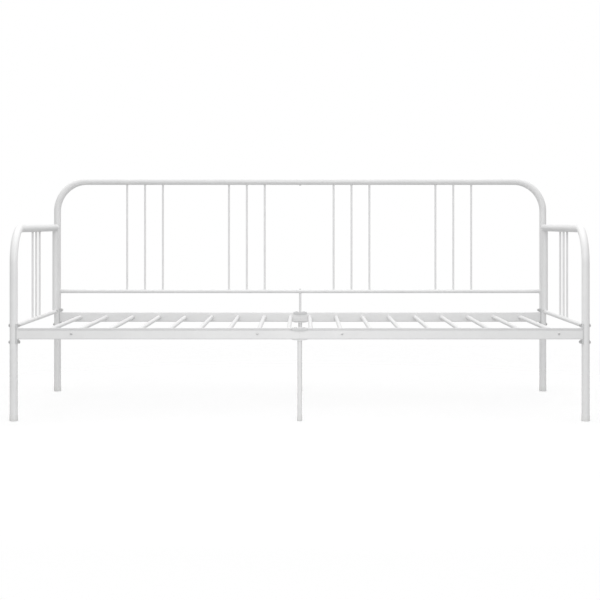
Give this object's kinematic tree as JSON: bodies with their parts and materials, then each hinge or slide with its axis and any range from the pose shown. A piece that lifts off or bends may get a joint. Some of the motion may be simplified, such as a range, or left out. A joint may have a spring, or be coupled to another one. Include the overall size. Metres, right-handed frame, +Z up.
{
  "type": "daybed",
  "caption": "White powder-coated metal daybed frame for a 90 x 200 cm mattress, with arms, backrest bars and 18 round slats.",
  "frame": {"origin": "centre of the footprint, on the floor", "axes": "+X along the bed to the right arm, +Y towards the backrest, +Z up"},
  "size_m": [2.088, 0.9536, 0.9],
  "materials": {
    "white_powder_coat": "satin",
    "white_plastic": "matte",
    "zinc_fasteners": "satin",
    "galvanised_plate": "matte",
    "bare_steel": "satin"
  },
  "bodies": {
    "root": {"arm_bars_left": "white_powder_coat", "arm_bars_right": "white_powder_coat", "arm_bolts": "zinc_fasteners", "arm_end_caps": "white_plastic", "arm_frame_left": "white_powder_coat", "arm_frame_right": "white_powder_coat", "arm_lower_rail_left": "white_powder_coat", "arm_lower_rail_right": "white_powder_coat", "arm_rear_post_left": "white_powder_coat", "arm_rear_post_right": "white_powder_coat", "arm_spacers": "white_powder_coat", "arm_weld_nuts": "bare_steel", "back_bars_inner_left": "white_powder_coat", "back_bars_inner_right": "white_powder_coat", "back_bars_outer_left": "white_powder_coat", "back_bars_outer_right": "white_powder_coat", "back_centre_post": "white_powder_coat", "back_frame_left": "white_powder_coat", "back_frame_right": "white_powder_coat", "back_lower_rail_left": "white_powder_coat", "back_lower_rail_right": "white_powder_coat", "back_rail_sleeve": "bare_steel", "back_seam_screws": "zinc_fasteners", "back_top_sleeve": "bare_steel", "centre_foot_caps": "white_plastic", "corner_bolts": "zinc_fasteners", "corner_foot_caps": "white_plastic", "corner_nuts": "zinc_fasteners", "front_centre_leg": "white_powder_coat", "front_rail_joiner": "bare_steel", "front_rail_left": "white_powder_coat", "front_rail_right": "white_powder_coat", "rail_end_saddles": "galvanised_plate", "rail_joint_bolts": "zinc_fasteners", "rail_joint_clamps": "galvanised_plate", "rear_centre_leg": "white_powder_coat", "rear_rail_joiner": "bare_steel", "rear_rail_left": "white_powder_coat", "rear_rail_right": "white_powder_coat", "slat_01": "white_powder_coat", "slat_02": "white_powder_coat", "slat_03": "white_powder_coat", "slat_04": "white_powder_coat", "slat_05": "white_powder_coat", "slat_06": "white_powder_coat", "slat_07": "white_powder_coat", "slat_08": "white_powder_coat", "slat_09": "white_powder_coat", "slat_10": "white_powder_coat", "slat_11": "white_powder_coat", "slat_12": "white_powder_coat", "slat_13": "white_powder_coat", "slat_14": "white_powder_coat", "slat_15": "white_powder_coat", "slat_16": "white_powder_coat", "slat_17": "white_powder_coat", "slat_18": "white_powder_coat", "slat_inserts": "bare_steel", "slat_screws": "zinc_fasteners"}
  },
  "joints": []
}
